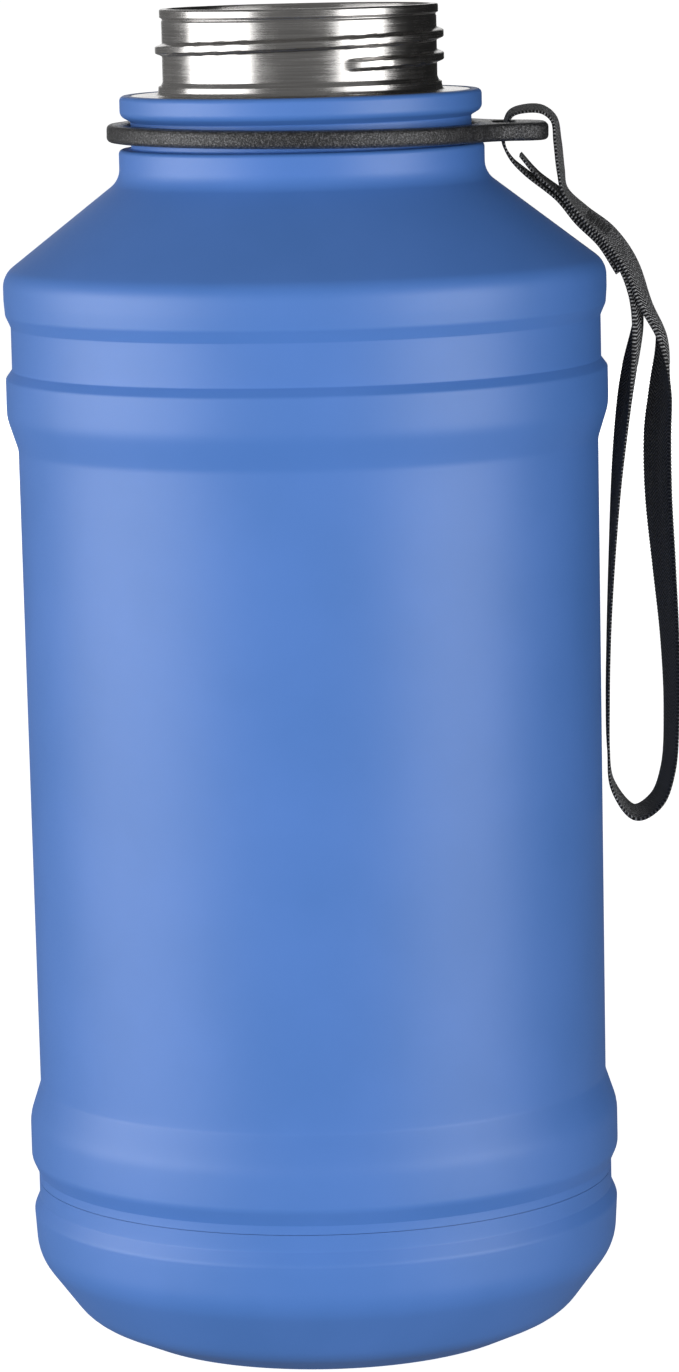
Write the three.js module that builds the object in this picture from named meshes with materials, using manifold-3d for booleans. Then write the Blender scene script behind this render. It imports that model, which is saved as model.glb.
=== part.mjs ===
// Large insulated water jug: a double-wall steel vessel with a threaded mouth, a ribbed outer
// shell, a loose plastic carry ring under the neck bead and a webbing wrist strap on its lug.
// Millimetres, +Z up. The origin is the centre of the base, on the surface it stands on.
// The ring's lug points along +X.
import * as THREE from 'three';
import { mergeVertices } from 'three/addons/utils/BufferGeometryUtils.js';
import Module from 'manifold-3d';

const wasm = await Module();
wasm.setup();

// ---- Driving dimensions ------------------------------------------------------------------

const height = 288.5;
const wall = 0.6;
const gap = 0.3;
const turns = 32; // facets round every turned piece

const body = { top: 62.7, low: 62.1, rib: 65, band: 63.6, lowerRib: 64.5, baseRib: 64.2, seam: 63 };
const seamHeight = 34.1; // top edge of the base cup
const collar = { radius: 39.3, bottom: 252.2, top: 258.8, round: 0.8 };
const groove = { radius: 36.6, top: 264.6 };
const bead = { radius: 38.9, low: 265.9, top: 270.2, round: 2.3 };
const foot = { outer: 43.7, inner: 40.5, recess: 2.4, dimple: 6, dimpleTop: 4.6, hole: 1.3 };

const neck = { radius: 29.5, flare: 30.1, lip: 29.9, lipHeight: 1.8, lipInner: 28.2 };
const flange = { inner: 30.4, outer: 36.5, low: 269.5, top: 270.1, lip: 271.6, lean: 0.9 };
const thread = { start: 276.4, pitch: 4.8, turns: 1.3, startAngle: -70, crest: 1.5, width: 2.6 };

const liner = { radius: 57, shoulder: 229, throat: 251, seam: 22, floor: 10.5 };
const foil = { thickness: 0.15, low: 30, high: 219 };
const seal = { radius: 2.3, lowRadius: 1.6, low: 3.4 };
const cover = { radius: 38.7, rim: 1, low: 1.2, top: 1.9, rimDrop: 0.4 };
const getter = { radius: 5, height: 1.6, top: 8.6, offset: 22 };
const clip = { width: 3, thickness: 0.3, arm: 3, clearance: 0.6 };

const ring = { inner: 37.6, outer: 41.8, thickness: 3.8, height: 261.65, tilt: 0.9, round: 0.6 };
const lug = { tip: 53, halfWidth: 10.5, root: 18, rootX: 34, bevel: 0.5 };
const slot = { inner: 41.6, outer: 45.9, halfLength: 6.5, round: 2 };

const strap = { width: 9, thickness: 0.6, layer: 1, endSpread: 1.3, steps: 6 };
const stitch = { radius: 0.2, reach: 2.6, rows: 10, first: 0.35, last: 0.65 };

// ---- Outlines ----------------------------------------------------------------------------

/** Corners [r, z, fillet radius] to points, each fillet an arc with a point every arcStep. */
function filleted(corners, arcStep = 30) {
  const points = [];
  corners.forEach(([r, z, radius = 0], i) => {
    const corner = new THREE.Vector2(r, z);
    if (radius === 0 || i === 0 || i === corners.length - 1) {
      points.push(corner);
      return;
    }
    const before = new THREE.Vector2(...corners[i - 1]).sub(corner);
    const after = new THREE.Vector2(...corners[i + 1]).sub(corner);
    const half = Math.abs(before.angleTo(after)) / 2;
    const room = 0.48 * Math.min(before.length(), after.length());
    const setback = Math.min(radius / Math.tan(half), room);
    const arcRadius = setback * Math.tan(half);
    const middle = before.clone().normalize().add(after.clone().normalize()).normalize();
    const centre = corner.clone().addScaledVector(middle, arcRadius / Math.sin(half));
    const from = corner.clone().addScaledVector(before.normalize(), setback).sub(centre);
    const angle = -Math.sign(before.cross(after)) * (Math.PI - 2 * half);
    const steps = Math.max(1, Math.round(THREE.MathUtils.radToDeg(Math.abs(angle)) / arcStep));
    for (let k = 0; k <= steps; k += 1) {
      const spoke = from.clone().rotateAround(new THREE.Vector2(), (angle * k) / steps);
      points.push(spoke.add(centre));
    }
  });
  return points;
}

/** The same line moved sideways by distance, to the left of its direction when positive. */
function offsetLine(points, distance) {
  return points.map((point, i) => {
    const incoming = point.clone().sub(points[Math.max(i - 1, 0)]);
    const outgoing = points[Math.min(i + 1, points.length - 1)].clone().sub(point);
    const a = (incoming.length() > 0 ? incoming : outgoing).clone().normalize();
    const b = (outgoing.length() > 0 ? outgoing : incoming).clone().normalize();
    const along = a.add(b).normalize();
    const mitre = distance / Math.max(0.5, along.dot(b));
    return new THREE.Vector2(point.x - along.y * mitre, point.y + along.x * mitre);
  });
}

/** Closed outline of formed sheet whose outer face follows the corners, upwards. */
function sheet(corners, thickness = wall) {
  const outer = filleted(corners);
  const inner = offsetLine(outer, thickness).reverse();
  return [...outer, ...inner, outer[0].clone()];
}

/** Turned solid about Z from an outline of [r, z] points that runs anticlockwise. */
function turned(outline, facets = turns) {
  const geometry = new THREE.LatheGeometry(outline, facets);
  geometry.rotateX(Math.PI / 2);
  geometry.rotateZ(-Math.PI / 2);
  return geometry;
}

const points2 = (pairs) => pairs.map(([r, z]) => new THREE.Vector2(r, z));

// ---- Booleans ----------------------------------------------------------------------------

function toManifold(geometry) {
  const bare = geometry.clone();
  bare.deleteAttribute('normal');
  bare.deleteAttribute('uv');
  const merged = mergeVertices(bare, 1e-4);
  const index = merged.index.array;
  const kept = [];
  for (let i = 0; i < index.length; i += 3) {
    const [a, b, c] = [index[i], index[i + 1], index[i + 2]];
    if (a !== b && b !== c && c !== a) kept.push(a, b, c);
  }
  return new wasm.Manifold(new wasm.Mesh({
    numProp: 3,
    vertProperties: new Float32Array(merged.attributes.position.array),
    triVerts: new Uint32Array(kept),
  }));
}

function toGeometry(solid) {
  const mesh = solid.getMesh();
  const geometry = new THREE.BufferGeometry();
  geometry.setAttribute('position', new THREE.BufferAttribute(mesh.vertProperties, 3));
  geometry.setIndex(new THREE.BufferAttribute(mesh.triVerts, 1));
  geometry.computeVertexNormals();
  return geometry;
}

// ---- Paths -------------------------------------------------------------------------------

/** A curve that carries its own section frames, given as functions of its parameter. */
class FramedPath extends THREE.Curve {
  constructor(pointAt, acrossAt) {
    super();
    this.pointAt = pointAt;
    this.acrossAt = acrossAt;
  }

  getPoint(t) {
    return this.pointAt(t);
  }

  getSpacedPoints(divisions) {
    return this.getPoints(divisions);
  }

  computeFrenetFrames(segments) {
    const frames = { tangents: [], normals: [], binormals: [] };
    for (let i = 0; i <= segments; i += 1) {
      const tangent = this.getTangent(i / segments);
      const across = this.acrossAt(i / segments, tangent);
      const normal = new THREE.Vector3().crossVectors(across, tangent).normalize();
      frames.tangents.push(tangent);
      frames.normals.push(normal);
      frames.binormals.push(new THREE.Vector3().crossVectors(tangent, normal));
    }
    return frames;
  }
}

function sweep(shape, path, steps) {
  return new THREE.ExtrudeGeometry(shape, { steps, extrudePath: path, bevelEnabled: false });
}

// ---- Vessel ------------------------------------------------------------------------------

function outerShell() {
  return turned(sheet([
    [body.seam, seamHeight + gap],
    [body.seam, 36.1],
    [body.lowerRib, 39.4, 4],
    [body.lowerRib, 48.2, 10],
    [body.low, 55.4, 2],
    [body.top, 194.8, 4],
    [body.rib, 202, 10],
    [body.rib, 210.2, 1.2],
    [body.band, 212.1],
    [body.band, 221.3],
    [body.rib - 0.25, 223.9, 2.5],
    [body.rib, 227, 12],
    [body.rib, 232.4, 6],
    [collar.radius, collar.bottom, 5],
    [collar.radius, collar.top, collar.round],
    [groove.radius, collar.top],
    [groove.radius, groove.top],
    [bead.radius, bead.low, 1.8],
    [bead.radius, bead.top, bead.round],
    [flange.outer + gap, bead.top],
  ]));
}

/** Bare steel ring that closes the top of the vessel between the bead and the neck. */
function neckFlange() {
  const { inner, outer, low, top, lip, lean } = flange;
  return turned(points2([[inner, low], [outer, low], [outer, top], [inner + lean, top],
    [inner, lip], [inner, low]]));
}

function outerBase() {
  return turned(sheet([
    [foot.hole, foot.dimpleTop],
    [foot.dimple, foot.dimpleTop],
    [foot.dimple, foot.recess],
    [foot.inner - 1, foot.recess],
    [foot.inner, 0],
    [foot.outer, 0],
    [53.8, 4.6, 12],
    [63.6, 17.8, 12],
    [body.baseRib, 27.6, 2],
    [body.seam, 30.4],
    [body.seam, seamHeight],
  ]));
}

function sealBead() {
  const top = foot.dimpleTop - gap;
  return turned(points2([[0, seal.low], [seal.lowRadius, seal.low], [seal.radius, top],
    [0, top]]), 12);
}

function baseCover() {
  const { radius, low, top, rimDrop } = cover;
  const inner = radius - cover.rim;
  return turned(points2([[0, low], [inner, low], [radius, low - rimDrop],
    [radius, top - rimDrop], [inner, top], [0, top]]));
}

function threadRidge() {
  const section = new THREE.Shape(points2([
    [-0.3, -thread.width / 2], [0.5, -thread.width / 2], [thread.crest, -thread.width / 5],
    [thread.crest, thread.width / 5], [0.5, thread.width / 2], [-0.3, thread.width / 2],
  ]));
  const angleAt = (t) => THREE.MathUtils.degToRad(thread.startAngle + 360 * thread.turns * t);
  const pointAt = (t) => {
    const angle = angleAt(t);
    const z = thread.start + thread.pitch * thread.turns * t;
    return new THREE.Vector3(neck.radius * Math.cos(angle), neck.radius * Math.sin(angle), z);
  };
  const path = new FramedPath(pointAt, (t, tangent) => {
    const outward = new THREE.Vector3(Math.cos(angleAt(t)), Math.sin(angleAt(t)), 0);
    return new THREE.Vector3().crossVectors(tangent, outward);
  });
  return sweep(section, path, Math.round(turns * thread.turns));
}

function innerLiner() {
  const lipLow = height - neck.lipHeight;
  const outline = sheet([
    [liner.radius, liner.seam + gap],
    [liner.radius, liner.shoulder, 9],
    [neck.radius, liner.throat, 6],
    [neck.radius, 268, 1.5],
    [neck.flare, 269.5],
    [neck.flare, 271.6],
    [neck.radius, 272.8],
    [neck.radius, lipLow - 0.8],
    [neck.lip, lipLow],
    [neck.lip, height - 0.5],
    [neck.lip - 0.5, height],
    [neck.lipInner + 0.3, height],
  ]);
  return toGeometry(toManifold(turned(outline)).add(toManifold(threadRidge())));
}

function linerBase() {
  return turned(sheet([
    [0, liner.floor + 2],
    [30, liner.floor + 1.2, 30],
    [44, liner.floor, 8],
    [liner.radius, liner.floor + 2, 9],
    [liner.radius, liner.seam],
  ]));
}

function radiationShield() {
  const inner = liner.radius + gap;
  const outer = inner + foil.thickness;
  return turned(points2([[outer, foil.low], [outer, foil.high], [inner, foil.high],
    [inner, foil.low], [outer, foil.low]]));
}

function getterPill() {
  return new THREE.CylinderGeometry(getter.radius, getter.radius, getter.height, 20)
    .rotateX(Math.PI / 2);
}

function getterClip() {
  const side = getter.radius + clip.clearance;
  const arm = getter.radius + clip.arm;
  const low = -getter.height / 2 - gap;
  const high = clip.thickness - low;
  const outline = points2([[-arm, high], [-side, high], [-side, low], [side, low], [side, high],
    [arm, high]]);
  const band = [...outline, ...offsetLine(outline, -clip.thickness).reverse()];
  return new THREE.ExtrudeGeometry(new THREE.Shape(band), { depth: clip.width, bevelEnabled: false })
    .translate(0, 0, -clip.width / 2)
    .rotateX(Math.PI / 2);
}

// ---- Carry ring --------------------------------------------------------------------------

function carryRing() {
  const half = ring.thickness / 2;
  const band = filleted([
    [ring.inner, half],
    [ring.inner, -half, 0.3],
    [ring.outer, -half, ring.round],
    [ring.outer, half, ring.round],
    [ring.inner, half],
  ], 45);
  const plan = new THREE.Shape();
  plan.moveTo(lug.rootX, -lug.root);
  plan.quadraticCurveTo(slot.inner, -12, slot.outer, -lug.halfWidth);
  plan.quadraticCurveTo(lug.tip, -lug.halfWidth + 1, lug.tip, -3);
  plan.lineTo(lug.tip, 3);
  plan.quadraticCurveTo(lug.tip, lug.halfWidth - 1, slot.outer, lug.halfWidth);
  plan.quadraticCurveTo(slot.inner, 12, lug.rootX, lug.root);
  const plate = new THREE.ExtrudeGeometry(plan, {
    depth: ring.thickness - 2 * lug.bevel,
    bevelThickness: lug.bevel,
    bevelSize: lug.bevel,
    bevelOffset: -lug.bevel,
    bevelSegments: 1,
    curveSegments: 6,
  }).translate(0, 0, lug.bevel - half);
  const opening = new THREE.Shape();
  const [low, high, end] = [slot.inner, slot.outer, slot.halfLength];
  opening.moveTo(low, -end + slot.round);
  opening.quadraticCurveTo(low, -end, low + slot.round, -end);
  opening.lineTo(high - slot.round, -end);
  opening.quadraticCurveTo(high, -end, high, -end + slot.round);
  opening.lineTo(high, end - slot.round);
  opening.quadraticCurveTo(high, end, high - slot.round, end);
  opening.lineTo(low + slot.round, end);
  opening.quadraticCurveTo(low, end, low, end - slot.round);
  const cut = new THREE.ExtrudeGeometry(opening, {
    depth: 4 * half, bevelEnabled: false, curveSegments: 3,
  }).translate(0, 0, -2 * half);
  const bore = turned(points2([[0, -2 * half], [ring.inner, -2 * half], [ring.inner, 2 * half],
    [0, 2 * half]]));
  const solid = toManifold(turned(band))
    .add(toManifold(plate))
    .subtract(toManifold(bore))
    .subtract(toManifold(cut));
  return toGeometry(solid);
}

// ---- Wrist strap -------------------------------------------------------------------------
// One length of webbing. Each point is [x, z, tilt]: its place in the plane Y = 0, and how far
// the webbing's front edge leans out of that plane towards the outside of the loop, in degrees.
// The sewn stretch is three layers thick, so its points are used three times. The layers spread
// a little at its ends, where they part.

const sewn = [[55.6, 247.2, 8], [59.9, 242.4, 18], [65.2, 237.6, 26], [69.4, 231.2, 24]];
const tail = [[47, 255.7, 4], [50.6, 251.4, 6]];
const innerLeg = [[70.9, 225.4, 20], [70.6, 218.6, 4], [69.3, 210, -12], [68.2, 201, -16],
  [66.6, 186, -10], [65.4, 170, -4], [64.4, 152, 0], [63.9, 136, 0], [63.9, 126, 2]];
const bottom = [[64.7, 118, 6], [69.5, 111.8, 14], [74.2, 114.4, 16]];
const outerLeg = [[76.8, 121, 15], [77.8, 134, 17], [77.6, 150, 22], [76.6, 166, 30],
  [75.6, 182, 37], [75.6, 195, 37], [76.2, 202.7, 32], [76.3, 208, 22], [76.2, 212, 10],
  [75.6, 216.4, -4], [73.4, 222.6, -20]];
const arch = [[55.6, 252.2, -12], [55, 258.4, -12], [54.3, 263.1, -6], [51.9, 265.3, -4],
  [48.4, 265.8, -4], [45.1, 264.7, -4], [43.6, 261.2, 0], [43.4, 258.2, 0], [44.9, 255, 2],
  [48, 251.9, 6]];

/** The sewn points moved by a number of layers along the webbing's face. */
function sewnLayer(layers) {
  return sewn.map(([x, z, tilt], i) => {
    const [x0, z0] = sewn[Math.max(i - 1, 0)];
    const [x1, z1] = sewn[Math.min(i + 1, sewn.length - 1)];
    const along = new THREE.Vector2(x1 - x0, z1 - z0).normalize();
    const lean = THREE.MathUtils.degToRad(tilt);
    const atEnd = i === 0 || i === sewn.length - 1;
    const shift = layers * strap.layer * (atEnd ? strap.endSpread : 1);
    return {
      place: new THREE.Vector3(
        x - along.y * shift * Math.cos(lean),
        -shift * Math.sin(lean),
        z + along.x * shift * Math.cos(lean),
      ),
      tilt,
    };
  });
}

function strapRoute() {
  const inPlane = (points) => points.map(([x, z, tilt]) => (
    { place: new THREE.Vector3(x, 0, z), tilt }));
  const upwards = sewnLayer(1).reverse().map(({ place, tilt }) => ({ place, tilt: -tilt }));
  return [
    ...inPlane(tail), ...sewnLayer(0), ...inPlane(innerLeg), ...inPlane(bottom),
    ...inPlane(outerLeg), ...upwards, ...inPlane(arch), ...sewnLayer(-1),
  ];
}

/** Direction across the webbing, towards its front edge, for a tangent and a tilt. */
function across(tangent, tilt) {
  const outward = new THREE.Vector3(tangent.z, 0, -tangent.x).normalize();
  const lean = THREE.MathUtils.degToRad(tilt);
  return new THREE.Vector3(0, -Math.cos(lean), 0).addScaledVector(outward, Math.sin(lean));
}

function strapPath() {
  const route = strapRoute();
  const line = new THREE.CatmullRomCurve3(route.map(({ place }) => place), false, 'centripetal');
  const last = route.length - 1;
  const tiltAt = (t) => {
    const i = Math.min(Math.floor(t * last), last - 1);
    return THREE.MathUtils.lerp(route[i].tilt, route[i + 1].tilt, t * last - i);
  };
  const path = new FramedPath((t) => line.getPoint(t), (t, tangent) => across(tangent, tiltAt(t)));
  return { path, last };
}

function rectangle(width, depth) {
  return new THREE.Shape(points2([[-width / 2, -depth / 2], [width / 2, -depth / 2],
    [width / 2, depth / 2], [-width / 2, depth / 2]]));
}

function wristStrap() {
  const { path, last } = strapPath();
  return sweep(rectangle(strap.thickness, strap.width), path, strap.steps * last);
}

/** Zigzag of thread that lies on the outer layer of the sewn stretch. */
function strapStitching() {
  const lift = strap.thickness / 2 + stitch.radius + gap;
  const layer = sewnLayer(1 + lift / strap.layer);
  const line = new THREE.CatmullRomCurve3(layer.map(({ place }) => place));
  const tilt = (sewn[1][2] + sewn[2][2]) / 2;
  const corners = [];
  for (let k = 0; k <= stitch.rows; k += 1) {
    const t = THREE.MathUtils.lerp(stitch.first, stitch.last, k / stitch.rows);
    const side = across(line.getTangent(t).negate(), -tilt);
    corners.push(line.getPoint(t).addScaledVector(side, k % 2 ? stitch.reach : -stitch.reach));
  }
  const zigzag = new THREE.CatmullRomCurve3(corners, false, 'catmullrom', 0.1);
  const face = new THREE.Vector3(1, -1, 1).normalize();
  const path = new FramedPath((t) => zigzag.getPoint(t), (t, tangent) => (
    new THREE.Vector3().crossVectors(tangent, face).normalize()));
  const round = new THREE.Shape().absarc(0, 0, stitch.radius, 0, 2 * Math.PI);
  return new THREE.ExtrudeGeometry(round, {
    steps: 2 * stitch.rows, extrudePath: path, bevelEnabled: false, curveSegments: 6,
  });
}

// ---- Assembly ----------------------------------------------------------------------------

const finishes = {
  powderCoat: { color: 0x2f6bc0, roughness: 0.55, metalness: 0.1 },
  steel: { color: 0xb9b7b3, roughness: 0.3, metalness: 1 },
  copper: { color: 0xc67a4b, roughness: 0.35, metalness: 1 },
  glassSolder: { color: 0x3a3f3c, roughness: 0.25, metalness: 0 },
  getterAlloy: { color: 0x6d6f72, roughness: 0.6, metalness: 0.8 },
  blackPlastic: { color: 0x232325, roughness: 0.5, metalness: 0 },
  webbing: { color: 0x18181a, roughness: 0.85, metalness: 0 },
};

function piece(name, geometry, finish) {
  const mesh = new THREE.Mesh(geometry, new THREE.MeshStandardMaterial(finishes[finish]));
  mesh.name = name;
  return mesh;
}

const jug = new THREE.Group();
jug.name = 'large_water_jug';

const vessel = new THREE.Group();
vessel.add(
  piece('outer_shell', outerShell(), 'powderCoat'),
  piece('outer_base', outerBase(), 'powderCoat'),
  piece('neck_flange', neckFlange(), 'steel'),
  piece('vacuum_seal_bead', sealBead(), 'glassSolder'),
  piece('base_cover', baseCover(), 'steel'),
  piece('inner_liner', innerLiner(), 'steel'),
  piece('liner_base', linerBase(), 'steel'),
  piece('radiation_shield', radiationShield(), 'copper'),
);
const getterHeight = getter.top - getter.height / 2;
for (const [name, geometry, finish] of [
  ['getter', getterPill(), 'getterAlloy'],
  ['getter_clip', getterClip(), 'steel'],
]) {
  const mesh = piece(name, geometry, finish);
  mesh.position.set(getter.offset, 0, getterHeight);
  vessel.add(mesh);
}
jug.add(vessel);

const carrier = piece('carry_ring', carryRing(), 'blackPlastic');
carrier.position.z = ring.height;
carrier.rotation.y = THREE.MathUtils.degToRad(ring.tilt);
jug.add(carrier);

jug.add(piece('wrist_strap', wristStrap(), 'webbing'));
jug.add(piece('strap_stitching', strapStitching(), 'webbing'));

export default jug;
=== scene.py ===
"""Looks for the large water jug: turned steel vessel, moulded carry ring and webbing strap."""
import math

import bpy
import numpy as np
from mathutils import Matrix, Vector


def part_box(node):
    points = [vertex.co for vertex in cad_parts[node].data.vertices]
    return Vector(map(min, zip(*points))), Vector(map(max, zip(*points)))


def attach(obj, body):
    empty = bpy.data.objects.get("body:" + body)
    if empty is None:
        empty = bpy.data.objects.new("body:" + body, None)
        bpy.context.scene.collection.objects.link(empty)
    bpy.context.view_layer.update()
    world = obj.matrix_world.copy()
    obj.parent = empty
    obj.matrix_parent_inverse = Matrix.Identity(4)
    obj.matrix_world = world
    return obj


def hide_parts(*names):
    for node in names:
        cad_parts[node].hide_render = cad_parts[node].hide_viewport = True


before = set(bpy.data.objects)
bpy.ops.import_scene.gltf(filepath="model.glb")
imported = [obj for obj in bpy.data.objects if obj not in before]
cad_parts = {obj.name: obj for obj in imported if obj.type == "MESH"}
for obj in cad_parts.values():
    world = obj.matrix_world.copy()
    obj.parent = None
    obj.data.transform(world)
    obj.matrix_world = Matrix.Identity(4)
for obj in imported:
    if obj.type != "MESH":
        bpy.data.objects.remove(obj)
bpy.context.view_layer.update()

MM = 0.001

# ---- Driving dimensions, in millimetres ---------------------------------------------------

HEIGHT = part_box("inner_liner")[1].z / MM
WALL = 0.6
GAP = 0.3
FACETS = 160  # round every turned piece
ARC_STEP = 6.0  # degrees between the points of a fillet
SPACING = 2.5  # longest step along a turned outline

BODY_TOP = 62.7
BODY_LOW = 62.1
RIB = 65.0
BAND = 63.6
LOWER_RIB = 64.5
BASE_RIB = 64.2
SEAM = 63.0
SEAM_HEIGHT = 34.1
COLLAR = 39.3
COLLAR_TOP = 258.8
GROOVE = 36.6
GROOVE_TOP = 264.6
BEAD = 38.9
BEAD_TOP = 270.2
FLANGE = 36.5
FLANGE_TOP = 270.1
NECK = 29.5
NECK_FLARE = 30.1
LIP = 29.9

THREAD_START = 276.4
THREAD_PITCH = 4.8
THREAD_TURNS = 1.3
THREAD_ANGLE = -70.0
THREAD_CREST = 1.5
THREAD_WIDTH = 2.9

RING_INNER = 37.6
RING_OUTER = 41.8
RING_THICKNESS = 3.8
RING_BEVEL = 1.0
RING_HEIGHT = 261.65
RING_TILT = 0.9
LUG_TIP = 53.0
LUG_HALF_WIDTH = 10.5
SLOT_INNER = 41.6
SLOT_OUTER = 45.9
SLOT_HALF_LENGTH = 6.5
SLOT_CORNER = 2.0

STRAP_WIDTH = 9.0
STRAP_THICKNESS = 0.64
STRAP_LAYER = 0.8
STRAP_END_SPREAD = 1.25
SELVEDGE_PITCH = 0.8
SELVEDGE_SCALLOP = 0.1
THREAD_RADIUS = 0.13
TACK_ROWS = 13
TACK_REACH = 2.6
TACK_SPAN = (0.36, 0.62)  # part of the sewn stretch that the bar tack covers

# The webbing's route: [x, z, tilt, cup] in the plane Y = 0. Tilt is how far the front edge leans
# towards the outside of the loop, in degrees; cup is how far the webbing's middle bulges
# towards the inside of the loop. The sewn stretch is used three times.
SEWN = [(55.6, 247.2, 8), (59.9, 242.4, 18), (65.2, 237.6, 26), (69.4, 231.2, 24)]
TAIL = [(47, 255.7, 4, 0), (50.6, 251.4, 6, 0)]
INNER_LEG = [(70.9, 225.4, 20, 1.2), (70.6, 218.6, 4, 2.2), (69.3, 210, -12, 2),
             (68.2, 201, -16, 1.2), (66.6, 186, -10, 0.5), (65.4, 170, -4, 0.3),
             (64.4, 152, 0, 0), (63.9, 136, 0, 0), (63.9, 126, 2, 0)]
BOTTOM = [(64.7, 118, 6, 0), (69.5, 111.8, 14, 0), (74.2, 114.4, 16, 0)]
OUTER_LEG = [(76.8, 121, 15, 0), (77.8, 134, 17, 0), (77.6, 150, 22, 0), (76.6, 166, 30, 0),
             (75.6, 182, 37, 0), (75.6, 195, 37, -0.3), (76.2, 202.7, 32, -0.8),
             (76.3, 208, 22, -1.5), (76.2, 212, 10, -2), (75.6, 216.4, -4, -2),
             (73.4, 222.6, -20, -1)]
ARCH = [(55.6, 252.2, -12, 0), (55, 258.4, -12, 0), (54.3, 263.1, -9, 0), (51.9, 265.2, -9, 0),
        (48.4, 265.5, -8, 0), (45.1, 264.5, -6, 0), (43.6, 261.2, 0, 0), (43.4, 258.2, 0, 0),
        (44.9, 255, 2, 0), (48, 251.9, 6, 0)]


# ---- Camera -------------------------------------------------------------------------------

CAMERA_DISTANCE = 1200.0
CAMERA_ABOVE_RIM = 24.5
CAMERA_PITCH, CAMERA_ROLL, CAMERA_YAW = 8.148, -1.3, 0.263  # degrees
CAMERA_LENS = 146.0


def make_camera():
    """Looks slightly down at the jug, with a little roll."""
    pitch, roll, yaw = (math.radians(a) for a in (CAMERA_PITCH, CAMERA_ROLL, CAMERA_YAW))
    forward = Vector((math.sin(yaw) * math.cos(pitch), math.cos(yaw) * math.cos(pitch),
                      -math.sin(pitch)))
    level = Vector((math.cos(yaw), -math.sin(yaw), 0))
    upright = level.cross(forward)
    right = level * math.cos(roll) + upright * math.sin(roll)
    up = upright * math.cos(roll) - level * math.sin(roll)
    camera = bpy.data.objects.new("camera", bpy.data.cameras.new("camera"))
    axes = Matrix((right, up, -forward)).transposed().to_4x4()
    place = Vector((0, -CAMERA_DISTANCE, HEIGHT + CAMERA_ABOVE_RIM)) * MM
    camera.matrix_world = Matrix.Translation(place) @ axes
    camera.data.lens = CAMERA_LENS
    camera.data.sensor_width = 36.0
    camera.data.clip_end = 100.0
    bpy.context.collection.objects.link(camera)
    bpy.context.scene.camera = camera


# ---- Mesh helpers -------------------------------------------------------------------------

def add_mesh(name, verts, faces, material, sharp_angle=35.0):
    mesh = bpy.data.meshes.new(name)
    mesh.from_pydata(verts, [], faces)
    mesh.validate()
    mesh.shade_smooth()
    mesh.set_sharp_from_angle(angle=math.radians(sharp_angle))
    mesh.materials.append(material)
    obj = bpy.data.objects.new(name, mesh)
    bpy.context.collection.objects.link(obj)
    return obj


def filleted(corners):
    """Corners (r, z, fillet radius) to points, with each fillet as an arc."""
    points = []
    for i, corner in enumerate(corners):
        at = Vector(corner[:2])
        radius = corner[2] if len(corner) > 2 else 0
        if not radius or i in (0, len(corners) - 1):
            points.append(at)
            continue
        before = Vector(corners[i - 1][:2]) - at
        after = Vector(corners[i + 1][:2]) - at
        half = before.angle(after) / 2
        room = 0.48 * min(before.length, after.length)
        setback = min(radius / math.tan(half), room)
        arc = setback * math.tan(half)
        middle = (before.normalized() + after.normalized()).normalized()
        centre = at + middle * (arc / math.sin(half))
        start = at + before.normalized() * setback - centre
        turn = before.x * after.y - before.y * after.x
        sweep = -math.copysign(math.pi - 2 * half, turn)
        steps = max(2, round(math.degrees(abs(sweep)) / ARC_STEP))
        for k in range(steps + 1):
            points.append(centre + Matrix.Rotation(sweep * k / steps, 2) @ start)
    return points


def densified(points, spacing=SPACING):
    """The same line with extra points, so that smooth shading stays local."""
    line = [points[0]]
    for a, b in zip(points, points[1:]):
        pieces = max(1, math.ceil((b - a).length / spacing))
        line += [a.lerp(b, k / pieces) for k in range(1, pieces + 1)]
    return line


def offset_line(points, distance):
    """The same line moved to the left of its direction by distance."""
    moved = []
    for i, point in enumerate(points):
        incoming = (point - points[i - 1]) if i else (points[1] - point)
        outgoing = (points[i + 1] - point) if i + 1 < len(points) else incoming
        along = (incoming.normalized() + outgoing.normalized()).normalized()
        mitre = distance / max(0.5, along.dot(outgoing.normalized()))
        moved.append(point + Vector((-along.y, along.x)) * mitre)
    return moved


def sheet_outline(corners, thickness=WALL):
    """Closed outline of formed sheet whose outer face follows the corners, upwards."""
    outer = densified(filleted(corners))
    return outer + offset_line(outer, thickness)[::-1]


def turned(name, outline, material, closed=True, bulge=None, facets=FACETS):
    """Solid of revolution. bulge(angle, r, z) gives a radius to add, such as a thread's."""
    rows = [(p.x, p.y) for p in outline]
    verts, rings = [], []
    for r, z in rows:
        if r < 1e-6:
            rings.append([len(verts)] * facets)
            verts.append((0, 0, z * MM))
            continue
        ring = []
        for k in range(facets):
            angle = 2 * math.pi * k / facets
            radius = (r + (bulge(angle, r, z) if bulge else 0)) * MM
            ring.append(len(verts))
            verts.append((radius * math.cos(angle), radius * math.sin(angle), z * MM))
        rings.append(ring)
    faces = []
    spans = len(rings) if closed else len(rings) - 1
    for i in range(spans):
        a, b = rings[i], rings[(i + 1) % len(rings)]
        for k in range(facets):
            corners = [a[k], a[(k + 1) % facets], b[(k + 1) % facets], b[k]]
            face = list(dict.fromkeys(corners))
            if len(face) > 2:
                faces.append(face)
    return add_mesh(name, verts, faces, material)


# ---- Material helpers ---------------------------------------------------------------------

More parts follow.
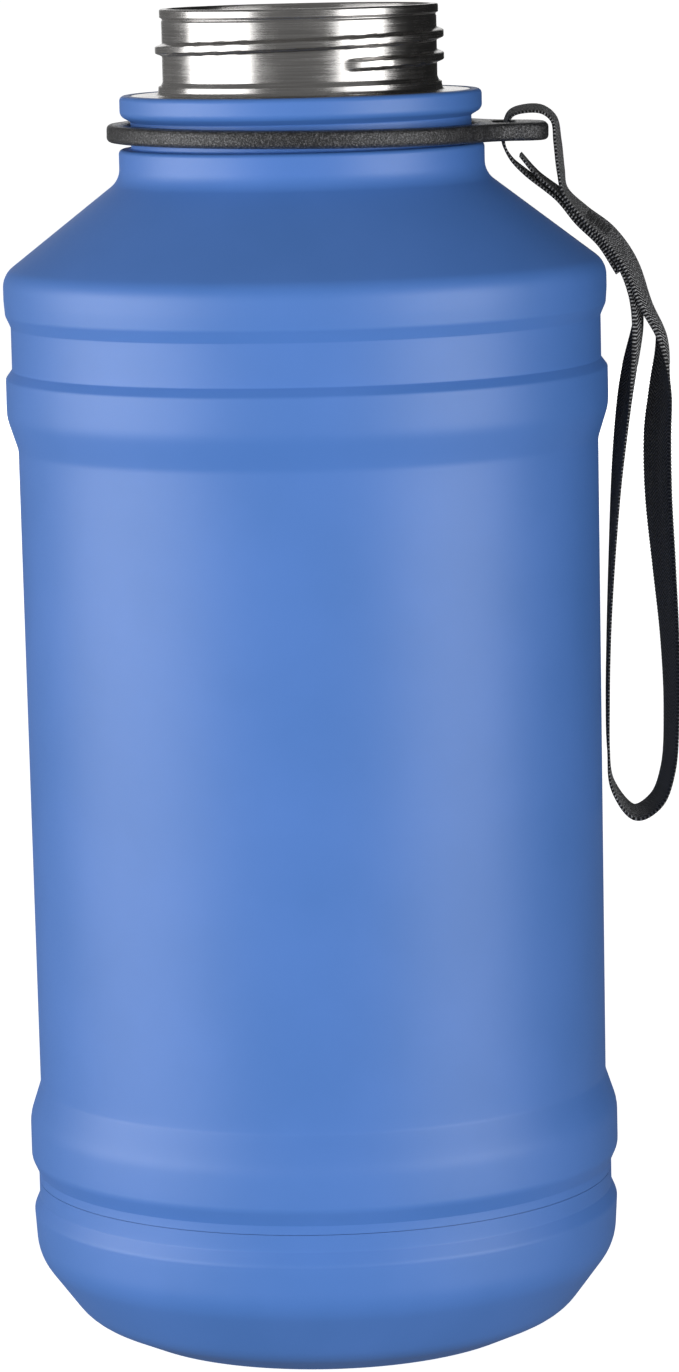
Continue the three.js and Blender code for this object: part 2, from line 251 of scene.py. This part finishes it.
class Shader:
    """A Principled material and short calls for the nodes that feed it."""

    def __init__(self, name, **values):
        self.material = bpy.data.materials.new(name)
        self.material.use_nodes = True
        self.tree = self.material.node_tree
        self.bsdf = self.tree.nodes["Principled BSDF"]
        for key, value in values.items():
            self.bsdf.inputs[key.replace("_", " ")].default_value = value

    def node(self, kind, inputs=None, **settings):
        made = self.tree.nodes.new(kind)
        for key, value in settings.items():
            setattr(made, key, value)
        for key, value in (inputs or {}).items():
            if isinstance(value, bpy.types.NodeSocket):
                self.tree.links.new(value, made.inputs[key])
            else:
                made.inputs[key].default_value = value
        return made

    def math(self, operation, *values):
        inputs = dict(enumerate(values))
        return self.node("ShaderNodeMath", inputs, operation=operation).outputs[0]

    def place(self, scale=(1, 1, 1)):
        """The point on the object, in millimetres, stretched by scale."""
        where = self.node("ShaderNodeTexCoord").outputs["Object"]
        size = [s / MM for s in scale]
        return self.node("ShaderNodeMapping", {"Vector": where, "Scale": size}).outputs[0]

    def noise(self, vector, scale, detail=3.0, roughness=0.5):
        inputs = {"Vector": vector, "Scale": scale, "Detail": detail, "Roughness": roughness}
        return self.node("ShaderNodeTexNoise", inputs).outputs["Fac"]

    def ramp(self, factor, low, high, a, b):
        """Maps factor from low..high onto a..b, clamped."""
        inputs = {"Value": factor, "From Min": low, "From Max": high, "To Min": a, "To Max": b}
        return self.node("ShaderNodeMapRange", inputs).outputs[0]

    def mix(self, factor, a, b):
        made = self.node("ShaderNodeMix", data_type="RGBA")
        for socket, value in (("Factor", factor), ("A", a), ("B", b)):
            slot = next(s for s in made.inputs
                        if s.name == socket and s.type in ("VALUE", "RGBA")
                        and (socket == "Factor") == (s.type == "VALUE"))
            if isinstance(value, bpy.types.NodeSocket):
                self.tree.links.new(value, slot)
            else:
                slot.default_value = value
        return next(s for s in made.outputs if s.type == "RGBA")

    def bump(self, height, distance, strength, under=None):
        """A normal from height, with distance in millimetres."""
        inputs = {"Height": height, "Distance": distance * MM, "Strength": strength}
        if under is not None:
            inputs["Normal"] = under
        return self.node("ShaderNodeBump", inputs).outputs[0]

    def feed(self, **sockets):
        for key, value in sockets.items():
            self.tree.links.new(value, self.bsdf.inputs[key.replace("_", " ")])
        return self.material


def powder_coat():
    """Blue powder coat: faint patches, fine grain and orange peel."""
    s = Shader("powder_coat", Roughness=0.5, Specular_IOR_Level=1.0)
    where = s.place()
    patches = s.noise(where, 0.035, detail=4)
    grain = s.noise(where, 2.2, detail=2)
    colour = s.mix(s.ramp(patches, 0.35, 0.65, 0, 1), (0.062, 0.193, 0.575, 1),
                   (0.072, 0.208, 0.615, 1))
    colour = s.mix(s.ramp(grain, 0.2, 0.8, 0.0, 0.12), colour, (0.12, 0.28, 0.68, 1))
    peel = s.noise(where, 0.8, detail=1)
    normal = s.bump(grain, 0.012, 0.35, s.bump(peel, 0.02, 0.25))
    rough = s.ramp(grain, 0.3, 0.7, 0.47, 0.55)
    return s.feed(Base_Color=colour, Normal=normal, Roughness=rough)


def brushed_steel():
    """Steel with fine lines round the axis, worn patches and small pits."""
    s = Shader("brushed_steel", Metallic=1.0)
    where = s.node("ShaderNodeTexCoord").outputs["Object"]
    split = s.node("ShaderNodeSeparateXYZ", {0: where})
    angle = s.math("ARCTAN2", split.outputs[1], split.outputs[0])
    radius = s.node("ShaderNodeVectorMath", {0: where}, operation="LENGTH").outputs["Value"]
    height = s.math("DIVIDE", split.outputs[2], MM)
    around = s.node("ShaderNodeCombineXYZ", {
        0: s.math("MULTIPLY", angle, 1.6), 1: s.math("MULTIPLY", height, 7.0),
        2: s.math("MULTIPLY", radius, 20.0)}).outputs[0]
    fine = s.noise(around, 1.0, detail=6, roughness=0.7)
    wear = s.noise(s.place(), 0.12, detail=5)
    pits = s.noise(s.place(), 1.6, detail=3)
    colour = s.mix(s.ramp(fine, 0.3, 0.7, 0, 1), (0.42, 0.405, 0.39, 1), (0.74, 0.725, 0.71, 1))
    roughness = s.math("ADD", s.ramp(fine, 0.3, 0.7, 0.16, 0.28), s.ramp(wear, 0.4, 0.7, 0, 0.08))
    normal = s.bump(fine, 0.012, 0.5, s.bump(pits, 0.01, 0.3))
    return s.feed(Base_Color=colour, Roughness=roughness, Normal=normal)


def moulded_plastic():
    """Black plastic with a spark-eroded texture and painted glints: lighter grey specks in its
    colour.
    """
    s = Shader("moulded_plastic", Specular_IOR_Level=0.9)
    where = s.place()
    grain = s.noise(where, 2.4, detail=2, roughness=0.6)
    glint_specks = s.noise(where, 2.8, detail=1)
    drift = s.noise(where, 0.08, detail=3)
    # Painted glints: the colour goes from near black to lighter grey on the specks.
    colour = s.mix(s.ramp(glint_specks, 0.5, 0.66, 0, 1), (0.006, 0.006, 0.007, 1),
                   (0.085, 0.085, 0.09, 1))
    rough = s.math("ADD", s.ramp(glint_specks, 0.4, 0.7, 0.45, 0.2), s.ramp(drift, 0.3, 0.7, 0, 0.08))
    normal = s.bump(grain, 0.22, 1.0)
    return s.feed(Base_Color=colour, Roughness=rough, Normal=normal)


def webbing():
    """Herringbone twill, with painted glints: light grey on the raised yarn and selvedge
    stitches. The mesh's point attribute holds the distance along the webbing and across it in
    millimetres, and how far the surface there faces towards +X, which dims the painted glints as
    painted shade on faces turned away from +X."""
    s = Shader("webbing", Specular_IOR_Level=0.35)
    s.bsdf.inputs["Sheen Weight"].default_value = 0.06
    s.bsdf.inputs["Sheen Roughness"].default_value = 0.4
    weave_and_facing = s.node("ShaderNodeAttribute", attribute_name="weave_and_facing").outputs["Vector"]
    split = s.node("ShaderNodeSeparateXYZ", {0: weave_and_facing})
    along, over, side = split.outputs[0], split.outputs[1], split.outputs[2]
    zigzag = s.math("PINGPONG", over, STRAP_WIDTH / 4)
    phase = s.math("ADD", along, s.math("MULTIPLY", zigzag, 1.0))
    rib = s.math("SINE", s.math("MULTIPLY", phase, 2 * math.pi / SELVEDGE_PITCH))
    yarn = s.math("SINE", s.math("MULTIPLY", over, 2 * math.pi / 0.45))
    stretched = s.node("ShaderNodeMapping", {"Vector": weave_and_facing, "Scale": (2.6, 2.6, 1)}).outputs[0]
    fibre = s.noise(stretched, 1.0, detail=3, roughness=0.7)
    centred = s.math("ABSOLUTE", s.math("SUBTRACT", over, STRAP_WIDTH / 2))
    selvedge = s.ramp(centred, STRAP_WIDTH / 2 - 1.0, STRAP_WIDTH / 2 - 0.7, 0, 1)
    stitch = s.math("SINE", s.math("MULTIPLY", along, 2 * math.pi / SELVEDGE_PITCH))
    raised = s.math("ADD", rib, s.math("MULTIPLY", selvedge, s.math("SUBTRACT", stitch, rib)))
    height = s.math("ADD", s.math("MULTIPLY", raised, 0.5), s.math("MULTIPLY", yarn, 0.2))
    height = s.math("ADD", height, fibre)
    # Painted glints: where raised yarn meets bright fibre noise, the colour goes from near black
    # to light grey (0.75).
    sparkle = s.ramp(fibre, 0.42, 0.6, 0.2, 1)
    glint = s.math("MULTIPLY", s.ramp(raised, -0.1, 0.8, 0.0, 1), sparkle)
    # Painted shade: the painted glints fade to 0.08 on faces turned away from +X, towards the
    # jug.
    glint = s.math("MULTIPLY", glint, s.ramp(side, -0.6, 1, 0.08, 1))
    colour = s.mix(glint, (0.004, 0.004, 0.005, 1), (0.75, 0.76, 0.78, 1))
    normal = s.bump(height, 0.16, 1.0)
    return s.feed(Base_Color=colour, Normal=normal, Roughness=s.ramp(fibre, 0.3, 0.7, 0.75, 0.5))


def sewing_thread():
    """Twisted black thread."""
    s = Shader("sewing_thread", Specular_IOR_Level=0.4)
    twist = s.noise(s.place((1, 1, 4)), 3.0, detail=3)
    colour = s.mix(s.ramp(twist, 0.35, 0.65, 0, 1), (0.012, 0.012, 0.013, 1),
                   (0.09, 0.09, 0.095, 1))
    return s.feed(Base_Color=colour, Normal=s.bump(twist, 0.05, 0.8),
                  Roughness=s.ramp(twist, 0.3, 0.7, 0.7, 0.5))


def copper_foil():
    """Creased copper foil."""
    s = Shader("copper_foil", Metallic=1.0)
    crease = s.noise(s.place((1, 1, 0.4)), 0.25, detail=6, roughness=0.65)
    colour = s.mix(s.ramp(crease, 0.35, 0.65, 0, 1), (0.60, 0.27, 0.15, 1),
                   (0.86, 0.47, 0.32, 1))
    return s.feed(Base_Color=colour, Normal=s.bump(crease, 0.3, 0.6),
                  Roughness=s.ramp(crease, 0.3, 0.7, 0.2, 0.42))


def glass_solder():
    """Dark fused glass."""
    s = Shader("glass_solder", IOR=1.6)
    swirl = s.noise(s.place(), 0.9, detail=4)
    colour = s.mix(s.ramp(swirl, 0.3, 0.7, 0, 1), (0.02, 0.028, 0.025, 1),
                   (0.09, 0.11, 0.1, 1))
    return s.feed(Base_Color=colour, Roughness=s.ramp(swirl, 0.3, 0.7, 0.08, 0.3),
                  Normal=s.bump(swirl, 0.05, 0.4))


def getter_alloy():
    """Grainy grey sintered alloy."""
    s = Shader("getter_alloy", Metallic=0.85)
    grain = s.noise(s.place(), 3.0, detail=5, roughness=0.7)
    colour = s.mix(s.ramp(grain, 0.3, 0.7, 0, 1), (0.09, 0.09, 0.095, 1), (0.3, 0.3, 0.31, 1))
    return s.feed(Base_Color=colour, Roughness=s.ramp(grain, 0.3, 0.7, 0.5, 0.8),
                  Normal=s.bump(grain, 0.08, 0.8))


# ---- Vessel -------------------------------------------------------------------------------

def adopt(piece, body, node):
    """Stands for a CAD node: rides on its body and hides the node."""
    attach(piece, body)
    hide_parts(node)
    return piece


def outer_shell(material):
    outline = sheet_outline([
        (SEAM, SEAM_HEIGHT + GAP / 3), (SEAM, 36.1, 0.5), (LOWER_RIB, 39.4, 4),
        (LOWER_RIB, 48.2, 10), (BODY_LOW, 55.4, 3), (BODY_TOP, 194.8, 5), (RIB, 202, 10),
        (RIB, 210.2, 1.2), (BAND, 212.1, 0.6), (BAND, 221.3, 0.8), (RIB - 0.25, 223.9, 2.5),
        (RIB, 227, 12), (RIB, 232.4, 6),
        (COLLAR, 252.2, 5), (COLLAR, COLLAR_TOP, 1), (GROOVE, COLLAR_TOP, 0.4),
        (GROOVE, GROOVE_TOP, 0.4), (BEAD, 265.9, 1.8), (BEAD, BEAD_TOP, 2.3),
        (FLANGE + GAP / 3, BEAD_TOP),
    ])
    return adopt(turned("shell_powder_coated", outline, material), "jug", "outer_shell")


def outer_base(material):
    outline = sheet_outline([
        (1.3, 4.6), (6, 4.6, 0.6), (6, 2.4, 0.6), (39.5, 2.4, 0.5), (40.5, 0, 0.6),
        (43.7, 0, 2), (53.8, 4.6, 12), (63.6, 17.8, 12), (BASE_RIB, 27.6, 2.2),
        (SEAM, 30.4, 1.0), (SEAM, SEAM_HEIGHT),
    ])
    return adopt(turned("base_powder_coated", outline, material), "jug", "outer_base")


def neck_flange(material):
    """Bare steel between the bead and the neck, with a small fillet up to the neck."""
    inner, thickness = NECK_FLARE + GAP / 3, 0.6
    outline = filleted([
        (inner, FLANGE_TOP - thickness), (FLANGE, FLANGE_TOP - thickness),
        (FLANGE, FLANGE_TOP, 0.2), (inner + 0.4, FLANGE_TOP, 1.4), (inner + 0.2, 272),
        (inner, 272),
    ])
    piece = turned("neck_flange_bare", densified(outline + outline[:1], 0.6)[:-1], material)
    return adopt(piece, "jug", "neck_flange")


def base_cover(material):
    radius = 38.7
    corners = [(0, 1.3), (8, 1.3), (8.5, 1.15, 0.3), (9, 1.3), (24, 1.3), (24.5, 1.15, 0.3),
               (25, 1.3), (radius - 1, 1.3, 0.5), (radius, 0.85, 0.2), (radius, 1.4, 0.2),
               (radius - 1, 1.85, 0.5), (0, 1.85)]
    outline = densified(filleted(corners), 4)
    return adopt(turned("base_cover_disc", outline, material, closed=False), "jug",
                 "base_cover")


def thread_height(angle, r, z):
    """Radius that the thread adds to the outside of the neck at an angle and height."""
    if r < NECK - 0.2 or z < THREAD_START - 3:
        return 0.0
    added = 0.0
    for turn in range(3):
        along = math.degrees(angle) - THREAD_ANGLE + 360 * (turn - 1)
        share = along / (360 * THREAD_TURNS)
        if not 0 <= share <= 1:
            continue
        centre = THREAD_START + THREAD_PITCH * along / 360
        across = abs(z - centre) / (THREAD_WIDTH / 2)
        if across < 1:
            run_out = min(1, share / 0.04, (1 - share) / 0.06)
            crest = min(1, 1.7 * (1 - across))
            added = THREAD_CREST * crest * crest * (3 - 2 * crest) * run_out ** 0.7
    return added


def inner_liner(material):
    lip_low = HEIGHT - 1.8
    lower = densified(filleted([
        (57, 22.3), (57, 229, 9), (NECK, 251, 6), (NECK, 268, 1.5), (NECK_FLARE, 269.5, 0.8),
        (NECK_FLARE, 271.6, 0.5), (NECK, 273, 0.8), (NECK, THREAD_START - 2),
    ]))
    threaded = densified([Vector((NECK, THREAD_START - 2)), Vector((NECK, lip_low - 0.9))], 0.15)
    lip = filleted([
        (NECK, lip_low - 0.9), (NECK - 0.25, lip_low - 0.4, 0.3), (LIP, lip_low, 0.25),
        (LIP, HEIGHT, 0.5), (28.5, HEIGHT, 0.4), (28.3, HEIGHT - 1.2, 0.4),
        (NECK - WALL, HEIGHT - 2.4),
    ])
    outer = lower + threaded[1:] + lip[1:]
    inner = offset_line(lower, WALL)[::-1]
    inner[0] = Vector((NECK - WALL, THREAD_START - 2))
    inside = densified([outer[-1], inner[0]], SPACING)[1:-1]
    return adopt(turned("liner_with_threaded_neck", outer + inside + inner, material,
                        bulge=thread_height, facets=240), "jug", "inner_liner")


def liner_base(material):
    floor = 10.5
    outline = sheet_outline([
        (0, floor + 2), (30, floor + 1.2, 30), (44, floor, 8), (57, floor + 2, 9), (57, 22),
    ])
    piece = turned("liner_base_cup", outline, material, closed=False)
    return adopt(piece, "jug", "liner_base")


# ---- Carry ring ---------------------------------------------------------------------------

def arc(radius, start, end, steps):
    return [Vector((radius * math.cos(math.radians(start + (end - start) * k / steps)),
                    radius * math.sin(math.radians(start + (end - start) * k / steps))))
            for k in range(steps + 1)]


def quadratic(a, b, c, steps=14):
    a, b, c = Vector(a), Vector(b), Vector(c)
    return [a.lerp(b, k / steps).lerp(b.lerp(c, k / steps), k / steps) for k in range(steps + 1)]


def carry_ring(material):
    """The ring, its lug and its slot: a flat outline with rounded edges."""
    low, high, tip = SLOT_INNER, SLOT_OUTER, LUG_TIP
    side = quadratic((38.2, 18), (low, 12), (high, LUG_HALF_WIDTH))
    side += quadratic((high, LUG_HALF_WIDTH), (tip, LUG_HALF_WIDTH - 1), (tip, 3))[1:]
    half = [p for p in side if p.length > RING_OUTER]
    first = math.degrees(math.atan2(half[0].y, half[0].x))
    outer = [Vector((p.x, -p.y)) for p in half] + half[::-1] + arc(
        RING_OUTER, first + 1.5, 358.5 - first, 170)
    hole = arc(RING_INNER, 0, 358, 179)
    opening = []
    for sx, sy in ((1, 1), (-1, 1), (-1, -1), (1, -1)):
        x, y = (high if sx > 0 else low), sy * SLOT_HALF_LENGTH
        a, b = (x, y - sy * SLOT_CORNER), (x - sx * SLOT_CORNER, y)
        opening += quadratic(a, (x, y), b, 6) if sx * sy > 0 else quadratic(b, (x, y), a, 6)
    curve = bpy.data.curves.new("carry_ring_outline", "CURVE")
    curve.dimensions = "2D"
    curve.fill_mode = "BOTH"
    bevel = RING_BEVEL * MM
    curve.extrude = RING_THICKNESS / 2 * MM - bevel
    curve.bevel_depth = bevel
    curve.bevel_resolution = 4
    curve.offset = -bevel
    for points in (outer, hole, opening):
        spline = curve.splines.new("POLY")
        spline.points.add(len(points) - 1)
        for at, p in zip(spline.points, points):
            at.co = (p.x * MM, p.y * MM, 0, 1)
        spline.use_cyclic_u = True
    source = bpy.data.objects.new("carry_ring_curve", curve)
    bpy.context.collection.objects.link(source)
    mesh = bpy.data.meshes.new_from_object(source.evaluated_get(
        bpy.context.evaluated_depsgraph_get()))
    bpy.data.objects.remove(source)
    mesh.transform(Matrix.Translation((0, 0, RING_HEIGHT * MM))
                   @ Matrix.Rotation(math.radians(RING_TILT), 4, "Y"))
    mesh.materials.clear()
    mesh.materials.append(material)
    mesh.shade_smooth()
    mesh.set_sharp_from_angle(angle=math.radians(40))
    piece = bpy.data.objects.new("carry_ring_moulded", mesh)
    bpy.context.collection.objects.link(piece)
    return adopt(piece, "ring", "carry_ring")


# ---- Wrist strap --------------------------------------------------------------------------

def sewn_layer(layers):
    """The sewn points moved by a number of layers along the webbing's face."""
    moved = []
    for i, (x, z, tilt) in enumerate(SEWN):
        before, after = SEWN[max(i - 1, 0)], SEWN[min(i + 1, len(SEWN) - 1)]
        along = Vector((after[0] - before[0], after[1] - before[1])).normalized()
        spread = STRAP_END_SPREAD if i in (0, len(SEWN) - 1) else 1
        lean, shift = math.radians(tilt), layers * STRAP_LAYER * spread
        moved.append((Vector((x - along.y * shift * math.cos(lean), -shift * math.sin(lean),
                              z + along.x * shift * math.cos(lean))), tilt))
    return moved


def strap_route():
    """The whole route, as places, tilts and cups."""
    def in_plane(points):
        return [(Vector((x, 0, z)), tilt, cup) for x, z, tilt, cup in points]
    upwards = [(place, -tilt, 0) for place, tilt in sewn_layer(1)[::-1]]
    under = [(place, tilt, 0) for place, tilt in sewn_layer(-1)]
    middle = [(place, tilt, 0) for place, tilt in sewn_layer(0)]
    return (in_plane(TAIL) + middle + in_plane(INNER_LEG) + in_plane(BOTTOM)
            + in_plane(OUTER_LEG) + upwards + in_plane(ARCH) + under)


def smooth_line(points, per_span):
    """Centripetal Catmull-Rom line through the points, with per_span steps a span."""
    points = [Vector(p) for p in points]
    ends = [points[0] * 2 - points[1], *points, points[-1] * 2 - points[-2]]
    line = []
    for i in range(1, len(ends) - 2):
        p0, p1, p2, p3 = ends[i - 1:i + 3]
        d0, d1, d2 = ((b - a).length ** 0.5 for a, b in ((p0, p1), (p1, p2), (p2, p3)))
        m1 = ((p1 - p0) / d0 - (p2 - p0) / (d0 + d1) + (p2 - p1) / d1) * d1
        m2 = ((p2 - p1) / d1 - (p3 - p1) / (d1 + d2) + (p3 - p2) / d2) * d1
        for k in range(per_span):
            t = k / per_span
            line.append(p1 + m1 * t + (p2 * 3 - p1 * 3 - m1 * 2 - m2) * t * t
                        + (p1 * 2 - p2 * 2 + m1 + m2) * t ** 3)
    return line + [points[-1]]


def strap_centreline(spacing):
    """Evenly spaced places along the webbing, with tangent, tilt, cup and distance."""
    route = strap_route()
    per_span = 24
    fine = np.array(smooth_line([place for place, _, _ in route], per_span))
    share = np.arange(len(fine)) / per_span
    kernel = np.hanning(2 * per_span + 1)
    kernel /= kernel.sum()
    values = []
    for column in (1, 2):
        value = np.interp(share, np.arange(len(route)), [entry[column] for entry in route])
        padded = np.pad(value, per_span, mode="edge")
        values.append(np.convolve(padded, kernel, mode="valid"))
    far = np.concatenate([[0], np.cumsum(np.linalg.norm(np.diff(fine, axis=0), axis=1))])
    at = np.linspace(0, far[-1], int(far[-1] / spacing) + 1)
    places = np.stack([np.interp(at, far, fine[:, i]) for i in range(3)], 1)
    tangents = np.gradient(places, axis=0)
    tangents /= np.linalg.norm(tangents, axis=1)[:, None]
    tilt, cup = (np.interp(at, far, value) for value in values)
    return places, tangents, np.radians(tilt), cup, at


def across_strap(tangents, tilt):
    """Unit vectors across the webbing, towards its front edge."""
    outward = np.stack([tangents[:, 2], 0 * tilt, -tangents[:, 0]], 1)
    outward /= np.linalg.norm(outward, axis=1)[:, None]
    front = np.array([0.0, -1.0, 0.0])
    side = front * np.cos(tilt)[:, None] + outward * np.sin(tilt)[:, None]
    side -= tangents * (side * tangents).sum(1)[:, None]
    return side / np.linalg.norm(side, axis=1)[:, None]


def wrist_strap(material):
    places, tangents, tilt, cup, at = strap_centreline(0.16)
    side = across_strap(tangents, tilt)
    face = np.cross(side, tangents)
    half_w, half_t, lanes = STRAP_WIDTH / 2, STRAP_THICKNESS / 2, 11
    flat = np.linspace(-1, 1, lanes)
    upper = [(v * (half_w - 0.25), half_t * (1 - 0.2 * v ** 8)) for v in flat]
    lower = [(v, -t) for v, t in upper[::-1]]
    section = np.array(upper + [(half_w, half_t * 0.45), (half_w, -half_t * 0.45)]
                       + lower + [(-half_w, -half_t * 0.45), (-half_w, half_t * 0.45)])
    count = len(section)
    edge = (np.abs(section[:, 0]) > half_w - 0.01) * np.sign(section[:, 0])
    scallop = SELVEDGE_SCALLOP * np.sin(at * 2 * math.pi / SELVEDGE_PITCH)
    narrowed = 1 - 0.04 * cup ** 2
    width = section[None, :, 0] * narrowed[:, None] + scallop[:, None] * edge[None, :]
    bulge = cup[:, None] * (1 - (section[None, :, 0] / half_w) ** 2)
    depth = section[None, :, 1] + bulge
    verts = (places[:, None] + side[:, None] * width[..., None]
             + face[:, None] * depth[..., None]).reshape(-1, 3) * MM
    faces = []
    for i in range(len(places) - 1):
        for k in range(count):
            n = (k + 1) % count
            faces.append((i * count + k, i * count + n, (i + 1) * count + n,
                          (i + 1) * count + k))
    faces.append(tuple(range(count))[::-1])
    faces.append(tuple((len(places) - 1) * count + k for k in range(count)))
    piece = add_mesh("wrist_strap_webbing", verts.tolist(), faces, material, 50)
    weave_and_facing = piece.data.attributes.new("weave_and_facing", "FLOAT_VECTOR", "POINT")
    # The third value, how far the surface faces towards +X, drives the painted shade on the
    # webbing's glints.
    towards_x = section[None, :, 1] / half_t * face[:, :1]
    grid = np.stack(np.broadcast_arrays(at[:, None], section[None, :, 0] + half_w,
                                        towards_x), -1)
    weave_and_facing.data.foreach_set("vector", grid.reshape(-1).astype(np.float32))
    adopt(piece, "strap", "wrist_strap")
    return piece, places[::12] * MM, at[-1] * MM


def strap_stitching(material):
    """The bar tack: a close zigzag of thread over the outermost sewn layer."""
    route = sewn_layer(1)
    fine = np.array(smooth_line([place for place, _ in route], 40))[::-1]
    tilt = -np.radians(np.interp(np.arange(len(fine)) / 40, range(len(route)),
                                 [t for _, t in route]))[::-1]
    tangents = np.gradient(fine, axis=0)
    tangents /= np.linalg.norm(tangents, axis=1)[:, None]
    side = across_strap(tangents, tilt)
    face = np.cross(side, tangents)
    curve = bpy.data.curves.new("strap_stitching", "CURVE")
    curve.dimensions = "3D"
    curve.bevel_depth = THREAD_RADIUS * MM
    curve.bevel_resolution = 3
    curve.use_fill_caps = True
    spline = curve.splines.new("POLY")
    first, last = (int(share * len(fine)) for share in TACK_SPAN)
    corners = []
    for k in range(TACK_ROWS):
        i = first + (last - first) * k // (TACK_ROWS - 1)
        for u in np.linspace(-1, 1, 9) * (1 if k % 2 else -1):
            lift = STRAP_THICKNESS / 2 + 0.1 - 0.22 * u ** 4
            corners.append(fine[i] + side[i] * u * TACK_REACH - face[i] * lift)
    spline.points.add(len(corners) - 1)
    for at, p in zip(spline.points, corners):
        at.co = (*(p * MM), 1)
    curve.materials.append(material)
    piece = bpy.data.objects.new("strap_bar_tack", curve)
    bpy.context.collection.objects.link(piece)
    return adopt(piece, "strap", "strap_stitching")


# ---- Studio -------------------------------------------------------------------------------

def soft_light(name, azimuth, distance, size, power, height=0.3, aim_height=0.15):
    """A rectangular soft light that stands at an azimuth from the camera's side."""
    light = bpy.data.lights.new(name, "AREA")
    light.shape = "RECTANGLE"
    light.size, light.size_y = size
    light.energy = power
    lamp = bpy.data.objects.new(name, light)
    turn = math.radians(azimuth)
    lamp.location = (distance * math.sin(turn), -distance * math.cos(turn), height)
    aim = Vector((0, 0, aim_height)) - lamp.location
    lamp.rotation_euler = aim.to_track_quat("-Z", "Y").to_euler()
    lamp.visible_camera = False
    bpy.context.collection.objects.link(lamp)
    return lamp


def studio():
    """A round white sweep, a broad fill in front and behind, a soft light on each side, a dark
    card on the right and a white card behind for the steel to reflect."""
    white = Shader("studio_sweep", Roughness=0.9)
    white.bsdf.inputs["Base Color"].default_value = (0.6, 0.6, 0.6, 1)
    white.bsdf.inputs["Emission Color"].default_value = (1, 1, 1, 1)
    white.bsdf.inputs["Emission Strength"].default_value = 0.95
    outline = [Vector(p) / MM for p in ((0, 0), (6, 0), (6.8, 0.15), (7.4, 0.6), (7.7, 1.4),
                                        (7.8, 9))]
    sweep = turned("studio_sweep", outline, white.material, closed=False)
    black = Shader("studio_card", Roughness=0.9)
    black.bsdf.inputs["Base Color"].default_value = (0.01, 0.01, 0.01, 1)
    corners = [(0.5, -0.15, 0.001), (0.5, 3.2, 0.001), (0.5, 3.2, 1.6), (0.5, -0.15, 1.6)]
    card = add_mesh("studio_card", corners, [(0, 1, 2, 3)], black.material, 180)
    card.visible_camera = False
    corners = [(-0.9, 3.9, 0), (0.9, 3.9, 0), (0.9, 3.9, 3), (-0.9, 3.9, 3)]
    backdrop = add_mesh("studio_backdrop", corners, [(0, 1, 2, 3)], white.material, 180)
    backdrop.visible_camera = False
    backdrop.visible_diffuse = False
    backdrop.visible_shadow = False
    sweep.visible_diffuse = False
    sweep.visible_glossy = False
    sweep.visible_shadow = False
    world = bpy.data.worlds.new("studio")
    bpy.context.scene.world = world
    world.use_nodes = True
    world.node_tree.nodes["Background"].inputs["Color"].default_value = (1, 1, 1, 1)
    world.node_tree.nodes["Background"].inputs["Strength"].default_value = 0.16
    soft_light("softbox_left", -72, 1.3, (1.6, 0.7), 12, height=0.22)
    soft_light("softbox_right", 56, 1.3, (1.1, 0.7), 8.5, height=0.2)
    fill = soft_light("front_fill", -8, 2.6, (1.6, 1.2), 30, height=0.1)
    fill.visible_glossy = False
    back = soft_light("back_fill", 180, 2.4, (1.6, 1.2), 16, height=0.4)
    back.visible_glossy = False
    bpy.context.scene.view_settings.view_transform = "Standard"


# ---- Assembly -----------------------------------------------------------------------------

make_camera()
studio()

steel = brushed_steel()
coat = powder_coat()
outer_shell(coat)
outer_base(coat)
neck_flange(steel)
base_cover(steel)
inner_liner(steel)
liner_base(steel)
carry_ring(moulded_plastic())
strap, strap_path, strap_length = wrist_strap(webbing())
bar_tack = strap_stitching(sewing_thread())

for node, material in (("radiation_shield", copper_foil()), ("getter", getter_alloy()),
                       ("getter_clip", steel), ("vacuum_seal_bead", glass_solder())):
    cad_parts[node].data.materials.clear()
    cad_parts[node].data.materials.append(material)
